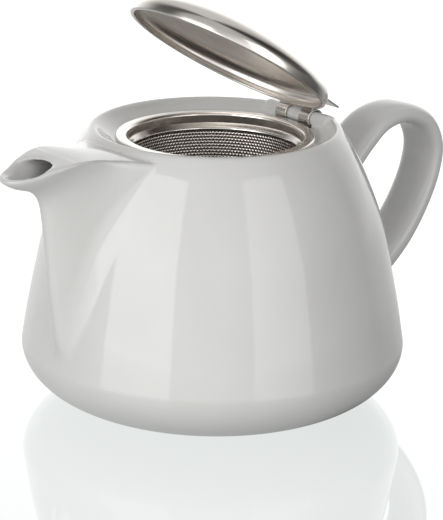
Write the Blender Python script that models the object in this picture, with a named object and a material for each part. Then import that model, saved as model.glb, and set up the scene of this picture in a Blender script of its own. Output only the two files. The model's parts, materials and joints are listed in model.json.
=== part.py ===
"""Teapot with a lift-out steel infuser basket and a hinged steel lid.

Run with: blender --background --python part.py
Metres, +Z up.  +X points to the handle, the spout is at -X, and the hinge
axis runs along Y.  The origin is under the middle of the whole pot's box,
on the surface that it stands on.  Sizes below are in millimetres, measured
from the pot's own upright axis, and MM turns them into metres.
"""
import math

import bmesh
import bpy
from mathutils import Matrix, Vector

MM = 0.001
GAP = 0.3                     # space kept between two pieces that touch

# ---- pot ---------------------------------------------------------------
AXIS_X = -8.06                # where the pot's axis stands in the frame
WALL = 4.6                    # stoneware wall
FOOT_INNER, FOOT_OUTER = 40.0, 45.6
FOOT_RECESS = 1.4
FLOOR_Z = 5.6                 # inside floor
BELLY_R, BELLY_Z = 72.3, 22.0
CORNER_R = 40.0               # where the belly's elliptical corner starts
SHOULDER = [(70.0, 36.0), (67.2, 50.0), (62.9, 69.0), (57.0, 85.0),
            (51.6, 96.5), (48.6, 101.2)]
CREST_R, CREST_Z = 45.6, 104.2
FUNNEL = [(44.1, 103.7), (42.0, 101.9), (39.6, 100.4), (38.3, 99.7)]
SEAT_Z = 99.7                 # ledge that carries the basket's flange
THROAT_R = 34.2
LEDGE_BOTTOM = 95.0
POT_SEGMENTS = 56

# ---- lid hinge ---------------------------------------------------------
HINGE_X, HINGE_Z = 41.2, 102.2
BAR_R = 2.9
BAR_HALF = 16.6
CLIP_T = 0.7                  # steel of the hinge bracket
CLIP_R = BAR_R + GAP + CLIP_T
CLIP_W = 5.8
CLIP_Y = 6.5                  # middle of each clip from the centre line
POCKET_R = 4.9
POCKET_HALF = 10.4

# ---- lid ---------------------------------------------------------------
LID_OPEN = 33.5               # degrees open as stored
LID_R = 39.9
LID_H = 14.2
LID_T = 0.7
LID_BAND = 2.2                # upright band above the lid's edge
LID_REACH = 44.7              # hinge axis to the middle of the lid
LID_LIFT = 1.8                # lid's edge above the hinge axis, closed
WEB_HALF = 9.4
TAB_Z = 9.4                   # top of the thumb tab above the hinge axis
TAB_END = 8.6                 # tab's tip beyond the hinge axis
TAB_TAPER = 0.97              # tab's width at the tip against the web's
LID_SEGMENTS = 48

# ---- infuser basket ----------------------------------------------------
FLANGE_R = 37.2
FLANGE_TOP = 101.1
STEEL = 0.6
COLLAR_R = 33.3
COLLAR_BOTTOM = 95.6
BEAD_R_IN, BEAD_TOP, BEAD_BOTTOM = 31.1, 98.0, 96.2
MESH_R = 32.0
MESH_T = 0.5
BASKET_BOTTOM = 34.0
HOOP_H = 3.6
BOTTOM_CROWN = 0.5            # rise of the bottom's middle
CROWN_RING = 0.6              # ring on the crown, as a share of its radius
SEAM_ANGLE = -18.0            # degrees round from the hinge side
SEAM_W = 4.0
BASKET_SEGMENTS = 48

# ---- spout, as a fan of sections from keel to top ----------------------
KEEL = [(-58.0, 22.0), (-71.6, 32.0), (-75.2, 48.0), (-77.0, 66.0),
        (-78.4, 80.0), (-79.9, 88.0), (-83.6, 92.4), (-91.0, 95.0),
        (-97.6, 98.8)]
SPOUT_TOP = [(-43.0, 101.8), (-49.0, 102.4), (-53.0, 102.9), (-56.5, 103.4),
             (-60.0, 103.9), (-63.5, 104.4), (-66.6, 104.8), (-69.4, 105.1),
             (-72.0, 105.2)]
SPOUT_W_ROOT, SPOUT_W_NECK, SPOUT_W_LIP = 22.5, 13.2, 15.0
SPOUT_CROWN = 1.0             # rise of the spout's top between its ridges
SPOUT_WALL = 3.0
BORE_SIDE = 2.8               # wall at the channel's sides
BORE_FRONT, BORE_BACK = 1.4, 6.2
FLANK_POINTS, CROWN_POINTS = 12, 4
BORE_POINTS = 16
SPOUT_STEPS = 13

# ---- handle ------------------------------------------------------------
HANDLE = [(53.0, 74.0), (61.5, 80.5), (70.0, 88.0), (79.5, 94.6),
          (91.5, 96.4), (102.5, 92.0), (108.0, 82.0), (106.6, 70.5),
          (101.0, 58.5), (92.6, 47.0), (83.0, 38.6), (73.0, 33.0),
          (63.0, 30.0)]
HANDLE_W_ROOT, HANDLE_W_MID = 26.0, 20.0
HANDLE_T_TOP, HANDLE_T_LOW = 7.4, 9.6
HANDLE_STEPS = 27
HANDLE_RING = 16

COLOURS = {
    "glaze": ((0.62, 0.614, 0.60, 1.0), 0.08, 0.0),
    "mirror_steel": ((0.66, 0.64, 0.61, 1.0), 0.12, 1.0),
    "satin_steel": ((0.52, 0.49, 0.46, 1.0), 0.34, 1.0),
}


def clear_scene():
    """Start from an empty file."""
    for old in list(bpy.data.objects):
        bpy.data.objects.remove(old, do_unlink=True)


def material(name, finish):
    """A Principled material of its own for one node."""
    colour, rough, metal = COLOURS[finish]
    made = bpy.data.materials.new(name)
    made.use_nodes = True
    shader = made.node_tree.nodes["Principled BSDF"]
    shader.inputs["Base Color"].default_value = colour
    shader.inputs["Roughness"].default_value = rough
    shader.inputs["Metallic"].default_value = metal
    return made


def add_object(name, bm, parent, finish=None):
    """Turn a bmesh into a smooth object under a parent empty."""
    bmesh.ops.recalc_face_normals(bm, faces=bm.faces)
    mesh = bpy.data.meshes.new(name)
    bm.to_mesh(mesh)
    bm.free()
    mesh.shade_smooth()
    mesh.set_sharp_from_angle(angle=math.radians(35))
    made = bpy.data.objects.new(name, mesh)
    bpy.context.scene.collection.objects.link(made)
    made.parent = parent
    if finish:
        mesh.materials.append(material(name, finish))
    else:
        made.hide_render = True
        made.display_type = "WIRE"
    return made


def empty(name, x, y, z, parent=None):
    """A frame for the pieces of one body, with its origin on the joint."""
    made = bpy.data.objects.new(name, None)
    made.location = (x * MM, y * MM, z * MM)
    bpy.context.scene.collection.objects.link(made)
    made.parent = parent
    return made


def cut(target, cutter, operation="DIFFERENCE"):
    """Boolean one object with another."""
    boolean = target.modifiers.new(cutter.name, "BOOLEAN")
    boolean.operation = operation
    boolean.solver = "EXACT"
    boolean.object = cutter
    return boolean


def smooth_path(points, count):
    """Evenly numbered points on a Catmull-Rom curve through the points."""
    pts = [Vector(p) for p in points]
    pts = [2 * pts[0] - pts[1]] + pts + [2 * pts[-1] - pts[-2]]
    spans = len(pts) - 3
    path = []
    for step in range(count):
        at = step / (count - 1) * spans
        i = min(int(at), spans - 1)
        u = at - i
        a, b, c, d = pts[i:i + 4]
        path.append(0.5 * (2 * b + (c - a) * u
                           + (2 * a - 5 * b + 4 * c - d) * u ** 2
                           + (3 * b - a - 3 * c + d) * u ** 3))
    return path


def revolve(name, loop, segments, parent, finish=None):
    """Spin a closed outline of (radius, height) round the local Z axis."""
    bm = bmesh.new()
    verts = [bm.verts.new((r * MM, 0.0, z * MM)) for r, z in loop]
    edges = [bm.edges.new((verts[i], verts[(i + 1) % len(verts)]))
             for i in range(len(verts))]
    edges = [e for e in edges
             if max(abs(v.co.x) for v in e.verts) > 1e-9]
    bmesh.ops.spin(bm, geom=verts + edges, cent=(0, 0, 0), axis=(0, 0, 1),
                   angle=math.tau, steps=segments, use_merge=True)
    bmesh.ops.remove_doubles(bm, verts=bm.verts, dist=1e-6)
    loose = [e for e in bm.edges if not e.link_faces]
    bmesh.ops.delete(bm, geom=loose, context="EDGES")
    return add_object(name, bm, parent, finish)


def loft(name, rings, parent, finish=None):
    """Skin a list of closed rings of points and cap both ends."""
    bm = bmesh.new()
    loops = []
    for ring in rings:
        verts = [bm.verts.new(p * MM) for p in ring]
        loops.append([bm.edges.new((verts[i], verts[(i + 1) % len(verts)]))
                      for i in range(len(verts))])
    for lower, upper in zip(loops, loops[1:]):
        bmesh.ops.bridge_loops(bm, edges=lower + upper)
    bmesh.ops.contextual_create(bm, geom=loops[0])
    bmesh.ops.contextual_create(bm, geom=loops[-1])
    return add_object(name, bm, parent, finish)


def block(name, low, high, parent, finish=None):
    """A box between two corners."""
    bm = bmesh.new()
    size = [(b - a) * MM for a, b in zip(low, high)]
    middle = [(a + b) / 2 * MM for a, b in zip(low, high)]
    matrix = Matrix.Translation(middle) @ Matrix.Diagonal((*size, 1.0))
    bmesh.ops.create_cube(bm, size=1.0, matrix=matrix)
    return add_object(name, bm, parent, finish)


def rod(name, radius, half, parent, finish=None, round_end=0.0, sides=28):
    """A round bar along Y, centred on its parent."""
    outline = [(0.0, -half), (radius - round_end, -half),
               (radius, -half + round_end), (radius, half - round_end),
               (radius - round_end, half), (0.0, half)]
    if round_end == 0.0:
        outline = [(0.0, -half), (radius, -half), (radius, half), (0.0, half)]
    made = revolve(name, outline, sides, parent, finish)
    made.data.transform(Matrix.Rotation(math.pi / 2, 4, "X"))
    return made


# ---- pot body ----------------------------------------------------------
def belly_corner(offset, count):
    """The elliptical lower corner, from the foot up to the belly."""
    wide = BELLY_R - CORNER_R + offset
    tall = BELLY_Z + offset
    start = math.radians(12.5)
    points = []
    for step in range(count):
        turn = start + (math.pi / 2 - start) * step / (count - 1)
        points.append((CORNER_R + wide * math.sin(turn),
                       BELLY_Z - tall * math.cos(turn)))
    return points


def outer_outline(offset):
    """Foot to crest, moved out by an offset."""
    shoulder = smooth_path([(BELLY_R, BELLY_Z)] + SHOULDER, 11)[1:]
    side = [(p.x + offset, p.y) for p in shoulder]
    rim = [(47.3 + offset, CREST_Z - 1.2), (46.6 + offset, CREST_Z - 0.4)]
    return belly_corner(offset, 8) + side + rim


def inner_outline():
    """Throat down the inside of the wall to the floor's middle."""
    wide = BELLY_R - CORNER_R - WALL
    tall = BELLY_Z - FLOOR_Z
    shoulder = smooth_path([(BELLY_R, BELLY_Z)] + SHOULDER, 11)[1:-2]
    side = [(p.x - WALL, p.y) for p in reversed(shoulder)]
    floor = []
    for step in range(6):
        turn = math.pi / 2 * (1 - step / 5)
        floor.append((CORNER_R + wide * math.sin(turn),
                      BELLY_Z - tall * math.cos(turn)))
    ledge = [(THROAT_R, LEDGE_BOTTOM + 1.0), (THROAT_R + 1.0, LEDGE_BOTTOM),
             (side[0][0] - 4.0, side[0][1] + 1.4)]
    return ledge + side + floor + [(0.0, FLOOR_Z)]


def make_envelope(parent):
    """The solid outside of the pot, which trims the spout and handle."""
    outline = [(0.0, -2.0), (FOOT_OUTER, -2.0)] + outer_outline(GAP)
    outline += [(46.0 + GAP, CREST_Z + 8.0), (0.0, CREST_Z + 8.0)]
    return revolve("cut_envelope", outline, POT_SEGMENTS, parent)


def make_pot_body(pot, hinge, bore):
    """The cast jar: foot, wall, rim, basket ledge and hinge pocket."""
    outline = [(0.0, FOOT_RECESS), (FOOT_INNER - 1.0, FOOT_RECESS),
               (FOOT_INNER, 0.0), (FOOT_OUTER, 0.0)]
    outline += outer_outline(0.0)
    outline += [(CREST_R, CREST_Z)] + FUNNEL
    outline += [(THROAT_R + 0.6, SEAT_Z), (THROAT_R, SEAT_Z - 0.6)]
    outline += inner_outline()
    body = revolve("pot_body", outline, POT_SEGMENTS, pot, "glaze")
    cut(body, bore)
    pocket = rod("cut_pocket", POCKET_R, POCKET_HALF, hinge, sides=24)
    cut(body, pocket)
    cut(body, block("cut_pocket_mouth", (-POCKET_R, -POCKET_HALF, 0.0),
                    (POCKET_R - 0.6, POCKET_HALF, 12.0), hinge))
    cut(body, rod("cut_bar_seat", BAR_R + GAP, BAR_HALF + GAP, hinge,
                  sides=24))
    return body


def make_hinge_bar(hinge):
    """The ceramic bar across the mouth that the lid's clips snap on."""
    return rod("hinge_bar", BAR_R, BAR_HALF, hinge, "glaze", round_end=0.8)


# ---- spout -------------------------------------------------------------
def spout_half(t):
    """Half the width between the spout's ridges at t (0 root, 1 lip)."""
    flare = (SPOUT_W_ROOT - SPOUT_W_NECK) * (1.0 - t) ** 4
    return SPOUT_W_NECK + flare + (SPOUT_W_LIP - SPOUT_W_NECK) * t ** 3


def spout_rise(t):
    """Power by which the flank widens upwards at t."""
    return 0.60 - 0.22 * t ** 3


def flank_side(t, length):
    """One side of the spout's section: (half-width, run from the keel)."""
    wide = spout_half(t)
    ridge = length - SPOUT_CROWN
    side = []
    for k in range(FLANK_POINTS + 1):
        s = (k / FLANK_POINTS) ** 2.2
        side.append((wide * s ** spout_rise(t), ridge * s))
    for k in range(1, CROWN_POINTS + 1):
        c = k / CROWN_POINTS
        side.append((wide * (1.0 - c),
                     ridge + SPOUT_CROWN * (1.0 - (1.0 - c) ** 2)))
    return side


def bore_side(t, length):
    """One side of the channel's section: (half-width, run from the keel)."""
    ridge = length - SPOUT_CROWN
    start = SPOUT_WALL + BORE_FRONT * t ** 3
    room = length - start - SPOUT_WALL - BORE_BACK * t ** 4
    blunt, flat = 12.0 - 6.0 * t, 14.0 - 9.5 * t
    side = []
    for k in range(BORE_POINTS + 1):
        s = 0.5 - 0.5 * math.cos(math.pi * k / BORE_POINTS)
        run = start + room * s
        wide = spout_half(t) * (run / ridge) ** spout_rise(t) - BORE_SIDE
        ends = (1.0 - (1.0 - s) ** blunt) * (1.0 - s ** flat)
        side.append((max(wide, 0.3) * math.sqrt(max(ends, 0.0)), run))
    return side


def spout_rings(side_of):
    """Closed sections from the root to the lip, from one side's outline."""
    keel = smooth_path(KEEL, SPOUT_STEPS)
    top = smooth_path(SPOUT_TOP, SPOUT_STEPS)
    rings = []
    for step, (low, high) in enumerate(zip(keel, top)):
        along = (high - low).normalized()
        side = side_of(step / (SPOUT_STEPS - 1), (high - low).length)
        near = [(low + along * run, -wide) for wide, run in side]
        far = [(spot, -wide) for spot, wide in near[-2:0:-1]]
        rings.append([Vector((spot.x, y, spot.y)) for spot, y in near + far])
    return rings


def make_bore(pot):
    """The channel through the spout and the pot's wall."""
    rings = spout_rings(bore_side)
    last = rings[-1]
    low, high = last[0], last[BORE_POINTS]
    out = Vector((low.z - high.z, 0.0, high.x - low.x)).normalized() * 12.0
    rings.append([p + out for p in last])
    return loft("cut_bore", rings, pot)


def make_spout(pot, bore, envelope):
    """The cast spout, open from the wall to the lip."""
    spout = loft("spout", spout_rings(flank_side), pot, "glaze")
    cut(spout, bore)
    cut(spout, envelope)
    return spout


# ---- handle ------------------------------------------------------------
def make_handle(pot, envelope):
    """The strap handle, a flat oval swept round the finger loop."""
    path = smooth_path(HANDLE, HANDLE_STEPS)
    rings = []
    for step, spot in enumerate(path):
        t = step / (HANDLE_STEPS - 1)
        before = path[max(step - 1, 0)]
        after = path[min(step + 1, HANDLE_STEPS - 1)]
        along = (after - before).normalized()
        out = Vector((-along.y, along.x))
        root = abs(2 * t - 1) ** 3
        wide = HANDLE_W_MID + (HANDLE_W_ROOT - HANDLE_W_MID) * root
        thick = HANDLE_T_TOP + (HANDLE_T_LOW - HANDLE_T_TOP) * t + 2.0 * root
        ring = []
        for k in range(HANDLE_RING):
            turn = math.tau * k / HANDLE_RING
            c, s = math.cos(turn), math.sin(turn)
            y = math.copysign(abs(c) ** 0.75, c) * wide / 2
            d = math.copysign(abs(s) ** 0.85, s) * thick / 2
            ring.append(Vector((spot.x + out.x * d, y, spot.y + out.y * d)))
        rings.append(ring)
    handle = loft("handle", rings, pot, "glaze")
    cut(handle, envelope)
    return handle


# ---- lid ---------------------------------------------------------------
def dome_outline(inset, count):
    """Edge to crown of the dome: an upright band, then a low ellipse."""
    radius = LID_R - inset
    tall = LID_H - inset - LID_BAND
    points = []
    for step in range(count):
        turn = math.pi / 2 * step / (count - 1)
        points.append((radius * math.cos(turn) ** 0.92,
                       LID_BAND + tall * math.sin(turn)))
    points[-1] = (0.0, points[-1][1])
    return points


def make_lid(lid):
    """The pressed dome, as one thin shell with its edge turned in."""
    outer = dome_outline(0.0, 11)
    inner = dome_outline(LID_T, 11)[::-1]
    edge = [(LID_R - LID_T, 0.7), (LID_R - 1.6, 0.7), (LID_R - 1.6, 0.1),
            (LID_R - 0.5, 0.0), (LID_R, 0.4)]
    dome = revolve("lid_dome", outer + inner + edge, LID_SEGMENTS, lid,
                   "mirror_steel")
    dome.location = (-LID_REACH * MM, 0.0, LID_LIFT * MM)
    return dome


def strip_outline():
    """Side view of the bracket: web up the lid's back, then the tab."""
    back = -(CLIP_R - CLIP_T / 2)
    web = [(back, 0.0), (back, TAB_Z - 2.4)]
    bend = []
    for step in range(1, 5):
        turn = math.pi / 2 * step / 4
        bend.append((back + 2.05 - 2.05 * math.cos(turn),
                     TAB_Z - 2.4 + 2.05 * math.sin(turn)))
    return web + bend + [(TAB_END, TAB_Z - CLIP_T / 2)]


def make_bracket(lid):
    """One bent strip: two clips on the bar, a web and a thumb tab."""
    path = strip_outline()
    bm = bmesh.new()
    verts = [bm.verts.new((x * MM, -WEB_HALF * MM, z * MM)) for x, z in path]
    edges = [bm.edges.new(pair) for pair in zip(verts, verts[1:])]
    made = bmesh.ops.extrude_edge_only(bm, edges=edges)
    moved = [g for g in made["geom"] if isinstance(g, bmesh.types.BMVert)]
    bmesh.ops.translate(bm, verts=moved, vec=(0.0, 2 * WEB_HALF * MM, 0.0))
    tips = [v for v in bm.verts if v.co.x > (TAB_END - 0.1) * MM]
    bmesh.ops.scale(bm, vec=(1.0, TAB_TAPER, 1.0), verts=tips)
    bracket = add_object("hinge_bracket", bm, lid, "satin_steel")
    plate = bracket.modifiers.new("plate", "SOLIDIFY")
    plate.thickness = CLIP_T * MM
    plate.offset = 0.0
    for side, name in ((-1, "near"), (1, "far")):
        clip = make_clip(name, lid)
        clip.location = (0.0, side * CLIP_Y * MM, 0.0)
        cut(bracket, clip, "UNION")
    return bracket


def make_clip(name, lid):
    """An open ring, sprung over the bar, whose mouth faces down and out."""
    steps = 20
    start, sweep = math.radians(-32), math.radians(296)
    outline = []
    for radius, order in ((CLIP_R, 1), (CLIP_R - CLIP_T, -1)):
        arc = [(radius * math.cos(start + sweep * k / steps),
                radius * math.sin(start + sweep * k / steps))
               for k in range(steps + 1)]
        outline += arc[::order]
    half = CLIP_W / 2
    rings = [[Vector((x, y, z)) for x, z in outline] for y in (-half, half)]
    return loft("cut_clip_" + name, rings, lid)


# ---- infuser basket ----------------------------------------------------
def make_basket_flange(basket):
    """Drawn ring: flange with a rolled edge, and the collar below it."""
    outline = [(COLLAR_R, COLLAR_BOTTOM), (COLLAR_R, FLANGE_TOP - 1.6),
               (COLLAR_R + 0.7, FLANGE_TOP - STEEL),
               (FLANGE_R - STEEL, FLANGE_TOP - STEEL),
               (FLANGE_R - STEEL, FLANGE_TOP - 1.1),
               (FLANGE_R, FLANGE_TOP - 1.1), (FLANGE_R, FLANGE_TOP - 0.4),
               (FLANGE_R - 0.5, FLANGE_TOP), (COLLAR_R + 0.2, FLANGE_TOP),
               (COLLAR_R - STEEL, FLANGE_TOP - 0.8),
               (COLLAR_R - STEEL, COLLAR_BOTTOM)]
    return revolve("basket_flange", outline, BASKET_SEGMENTS, basket,
                   "mirror_steel")


def make_basket_bead(basket):
    """Ring inside the collar that holds the mesh's top edge."""
    out = COLLAR_R - STEEL - GAP
    outline = [(out, BEAD_BOTTOM), (out, BEAD_TOP - 0.3),
               (out - 0.4, BEAD_TOP), (BEAD_R_IN + 0.4, BEAD_TOP - 0.2),
               (BEAD_R_IN, BEAD_TOP - 0.8), (BEAD_R_IN, BEAD_BOTTOM)]
    return revolve("mesh_retaining_ring", outline, BASKET_SEGMENTS, basket,
                   "mirror_steel")


def make_basket_wall(basket):
    """The perforated sheet, rolled into a cylinder."""
    low = BASKET_BOTTOM + HOOP_H + GAP
    high = BEAD_BOTTOM - GAP
    outline = [(MESH_R, low), (MESH_R, high), (MESH_R - MESH_T, high),
               (MESH_R - MESH_T, low)]
    return revolve("basket_wall", outline, BASKET_SEGMENTS, basket,
                   "satin_steel")


def make_seam(basket):
    """The overlap strip welded down the inside of the rolled sheet."""
    out = MESH_R - MESH_T - GAP
    low = BASKET_BOTTOM + HOOP_H + 1.0
    high = BEAD_BOTTOM - 1.0
    half = SEAM_W / 2 / out
    middle = math.radians(SEAM_ANGLE)
    rings = []
    for z in (low, high):
        ring = []
        for radius, order in ((out, 1), (out - 0.5, -1)):
            for step in range(5)[::order]:
                turn = middle + half * (step / 2 - 1)
                ring.append(Vector((radius * math.cos(turn),
                                    radius * math.sin(turn), z)))
        rings.append(ring)
    return loft("basket_seam_strip", rings, basket, "satin_steel")


def make_hoop(basket):
    """Folded ring that joins the wall to the bottom."""
    low, high = BASKET_BOTTOM, BASKET_BOTTOM + HOOP_H
    outline = [(MESH_R - 1.0, low), (MESH_R + 0.2, low + 0.8),
               (MESH_R + 0.2, high), (MESH_R - MESH_T, high),
               (MESH_R - 1.4, high - 0.6), (MESH_R - 1.4, low)]
    return revolve("basket_bottom_hoop", outline, BASKET_SEGMENTS, basket,
                   "satin_steel")


def make_bottom(basket):
    """The perforated bottom disc, slightly crowned."""
    edge = MESH_R - 1.4 - GAP
    low = BASKET_BOTTOM + 0.6
    top = low + MESH_T
    outline = [(0.0, low), (edge, low), (edge, top),
               (edge * CROWN_RING, top + BOTTOM_CROWN * (1.0 - CROWN_RING ** 2)),
               (0.0, top + BOTTOM_CROWN)]
    return revolve("basket_bottom", outline, BASKET_SEGMENTS, basket,
                   "satin_steel")


def main():
    clear_scene()
    pot = empty("pot_frame", AXIS_X, 0.0, 0.0)
    hinge = empty("hinge_frame", HINGE_X, 0.0, HINGE_Z, pot)
    lid = empty("lid_frame", 0.0, 0.0, 0.0, hinge)
    lid.rotation_euler = (0.0, math.radians(LID_OPEN), 0.0)
    basket = empty("basket_frame", 0.0, 0.0, 0.0, pot)

    bore = make_bore(pot)
    envelope = make_envelope(pot)
    make_pot_body(pot, hinge, bore)
    make_spout(pot, bore, envelope)
    make_handle(pot, envelope)
    make_hinge_bar(hinge)

    make_lid(lid)
    make_bracket(lid)

    make_basket_flange(basket)
    make_basket_bead(basket)
    make_basket_wall(basket)
    make_seam(basket)
    make_hoop(basket)
    make_bottom(basket)


main()
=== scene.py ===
"""Glazed teapot with a hinged steel lid and a perforated infuser basket.

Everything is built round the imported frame.  Sizes are in millimetres from
the pot's own upright axis, with +X to the handle and +Z up.  make_mesh()
turns them into metres and puts the finished piece on that axis.
"""
import json
import math

import bmesh
import bpy
import numpy as np
from mathutils import Matrix, Vector
from mathutils.bvhtree import BVHTree


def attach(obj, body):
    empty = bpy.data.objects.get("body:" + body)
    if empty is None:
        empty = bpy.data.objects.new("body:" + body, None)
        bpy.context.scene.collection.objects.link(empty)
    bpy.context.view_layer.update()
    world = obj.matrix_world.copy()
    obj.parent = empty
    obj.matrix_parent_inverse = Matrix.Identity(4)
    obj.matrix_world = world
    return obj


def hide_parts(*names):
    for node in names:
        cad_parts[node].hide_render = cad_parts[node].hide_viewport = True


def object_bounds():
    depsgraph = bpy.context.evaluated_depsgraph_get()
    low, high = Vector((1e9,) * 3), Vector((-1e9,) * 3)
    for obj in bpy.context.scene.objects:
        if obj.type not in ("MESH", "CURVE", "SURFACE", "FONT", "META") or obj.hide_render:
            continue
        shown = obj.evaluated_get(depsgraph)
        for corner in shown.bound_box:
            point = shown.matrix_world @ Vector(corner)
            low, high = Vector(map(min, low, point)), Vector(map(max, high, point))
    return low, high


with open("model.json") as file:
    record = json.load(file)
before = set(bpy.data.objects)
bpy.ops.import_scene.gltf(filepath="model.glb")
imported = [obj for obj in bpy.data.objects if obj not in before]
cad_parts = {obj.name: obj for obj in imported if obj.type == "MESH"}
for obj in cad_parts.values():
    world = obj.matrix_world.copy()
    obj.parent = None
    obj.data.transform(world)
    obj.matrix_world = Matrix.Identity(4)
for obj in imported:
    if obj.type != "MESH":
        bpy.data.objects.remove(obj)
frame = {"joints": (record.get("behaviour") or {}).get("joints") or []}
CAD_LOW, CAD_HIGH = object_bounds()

MM = 0.001
JOINTS = {joint["name"]: joint for joint in frame["joints"]}

# ---- where the frame puts things ---------------------------------------
AXIS = Vector(JOINTS["basket_turn"]["pos_m"]) * Vector((1, 1, 0))
HINGE_X = (JOINTS["lid_hinge"]["pos_m"][0] - AXIS.x) / MM
HINGE_Z = JOINTS["lid_hinge"]["pos_m"][2] / MM

# ---- pot ---------------------------------------------------------------
WALL = 4.6
FOOT_INNER, FOOT_OUTER = 40.0, 45.6
FOOT_RECESS = 1.4
FLOOR_Z = 5.6
BELLY_R, BELLY_Z = 72.3, 22.0
CORNER_R = 40.0
CORNER_START = math.radians(12.5)
SHOULDER = [(70.0, 36.0), (67.2, 50.0), (62.9, 69.0), (57.0, 85.0),
            (51.6, 96.5), (48.6, 101.2)]
RIM = [(47.3, 103.0), (46.6, 103.8), (45.6, 104.2)]
FUNNEL = [(44.1, 103.7), (42.0, 101.9), (39.6, 100.4), (38.3, 99.7)]
SEAT_Z = 99.7                 # ledge that carries the basket's flange
THROAT_R = 34.2
LEDGE_BOTTOM = 95.0
BAR_R = 2.9
BAR_HALF = 17.5               # long enough to run into the rim at both ends
POCKET_R = 4.9                # hollow in the rim that the clips turn in
POCKET_HALF = 10.4
SLOT_INSET = 0.3              # the slot above it is this much narrower
POCKET_EDGE = 1.4             # rounding of the pocket's edges

# ---- spout and handle --------------------------------------------------
KEEL = [(-58.0, 22.0), (-71.6, 32.0), (-75.2, 48.0), (-77.0, 66.0),
        (-78.4, 80.0), (-79.9, 88.0), (-83.6, 92.4), (-91.0, 95.0),
        (-97.6, 98.8)]
SPOUT_TOP = [(-43.0, 101.8), (-49.0, 102.4), (-53.0, 102.9), (-56.5, 103.4),
             (-60.0, 103.9), (-63.5, 104.4), (-66.6, 104.8), (-69.4, 105.1),
             (-72.0, 105.2)]
SPOUT_W_ROOT, SPOUT_W_NECK, SPOUT_W_LIP = 22.5, 13.2, 15.0
SPOUT_CROWN = 1.0             # rise of the spout's top between its ridges
SPOUT_ROOF = 105.5            # the lip's plane turns level at this height
SPOUT_OVERRUN = 12.0          # how far the sections run on past the lip
SPOUT_INRUN = 14.0            # and how far they start inside the pot
SPOUT_WALL = 3.0
BORE_SIDE = 2.8               # wall at the channel's sides
BORE_FRONT, BORE_BACK = 1.4, 6.2   # extra wall before and behind the hole
BORE_ROOF, BORE_ROOF_X = 96.4, -49.0   # the channel stays below the mouth
LIP_ROLL, LIP_ROLL_TIP = 1.2, 3.4  # rounding of the lip, behind and at its tip
HANDLE = [(53.0, 74.0), (61.5, 80.5), (70.0, 88.0), (79.5, 94.6),
          (91.5, 96.4), (102.5, 92.0), (108.0, 82.0), (106.6, 70.5),
          (101.0, 58.5), (92.6, 47.0), (83.0, 38.6), (73.0, 33.0),
          (63.0, 30.0)]
HANDLE_W_ROOT, HANDLE_W_MID = 26.0, 20.0
HANDLE_T_TOP, HANDLE_T_LOW = 7.4, 9.6
HANDLE_FLARE = 2.0            # extra thickness at both roots
HANDLE_FILLET = 3.6

# ---- lid and its bracket -----------------------------------------------
LID_OPEN = math.radians(33.5)
LID_R, LID_H, LID_T = 39.9, 14.2, 0.7
LID_BAND = 2.2                # upright band above the lid's edge
LID_REACH, LID_LIFT = 44.7, 1.8    # from the hinge axis to the lid's middle
CLIP_T, CLIP_PLAY = 0.7, 0.3
CLIP_R = BAR_R + CLIP_PLAY + CLIP_T
CLIP_W, CLIP_Y = 5.8, 6.5
WEB_HALF = 9.4
WEB_FOOT = 2.0                # where the web starts above the hinge axis
TAB_Z, TAB_END = 9.4, 8.6
TAB_BEND = 2.05               # radius of the bend between web and tab
TAB_TAPER, TAPER_FROM = 0.03, 0.2  # narrowing of the tab, and where it begins

# ---- basket ------------------------------------------------------------
FLANGE_R, FLANGE_TOP = 37.2, 101.1
STEEL = 0.6
COLLAR_R, COLLAR_BOTTOM = 33.3, 95.6
BEAD_R_IN, BEAD_TOP, BEAD_BOTTOM = 31.1, 96.7, 94.9
MESH_R, MESH_T = 32.0, 0.5
BASKET_BOTTOM, HOOP_H = 34.0, 3.6
SEAM_ANGLE, SEAM_W = math.radians(-18.0), 4.0
SEAM_IN, SEAM_OUT = 0.45, 0.02     # the strip's faces, in from the sheet
HOLE_PITCH, HOLE_R = 1.35, 0.51
HOLE_DISH = 0.22              # how far the sheet sinks round each hole

# ---- fineness of the glazed surface ------------------------------------
CELL = 0.9
FAR = 40.0                    # stands for "nowhere near" in a field


# ======================================================================
#  small helpers
# ======================================================================
def smooth_path(points, count):
    """Evenly numbered points on a Catmull-Rom curve through the points."""
    pts = [Vector(p) for p in points]
    pts = [2 * pts[0] - pts[1]] + pts + [2 * pts[-1] - pts[-2]]
    spans = len(pts) - 3
    path = []
    for step in range(count):
        at = step / (count - 1) * spans
        i = min(int(at), spans - 1)
        u = at - i
        a, b, c, d = pts[i:i + 4]
        path.append(0.5 * (2 * b + (c - a) * u
                           + (2 * a - 5 * b + 4 * c - d) * u ** 2
                           + (3 * b - a - 3 * c + d) * u ** 3))
    return path


def arc(centre, radius, start, end, count):
    """Points on a circle's arc between two angles in degrees."""
    turns = [math.radians(start + (end - start) * k / (count - 1))
             for k in range(count)]
    return [(centre[0] + radius * math.cos(t),
             centre[1] + radius * math.sin(t)) for t in turns]


def make_mesh(name, verts, faces, materials, frame_matrix=None):
    """A smooth mesh piece from millimetre points."""
    mesh = bpy.data.meshes.new(name)
    mesh.from_pydata([tuple(v) for v in np.asarray(verts, float) * MM],
                     [], [tuple(f) for f in faces])
    mesh.validate()
    mesh.shade_smooth()
    for finish in materials:
        mesh.materials.append(finish)
    return add_piece(name, mesh, frame_matrix)


def add_piece(name, mesh, frame_matrix=None):
    """Object for a mesh, placed from the pot's axis."""
    made = bpy.data.objects.new(name, mesh)
    made.matrix_world = Matrix.Translation(AXIS) @ (frame_matrix or Matrix())
    bpy.context.scene.collection.objects.link(made)
    return made


def sharpen(piece, degrees):
    """Mark creases above an angle as sharp."""
    piece.data.set_sharp_from_angle(angle=math.radians(degrees))
    return piece


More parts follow.
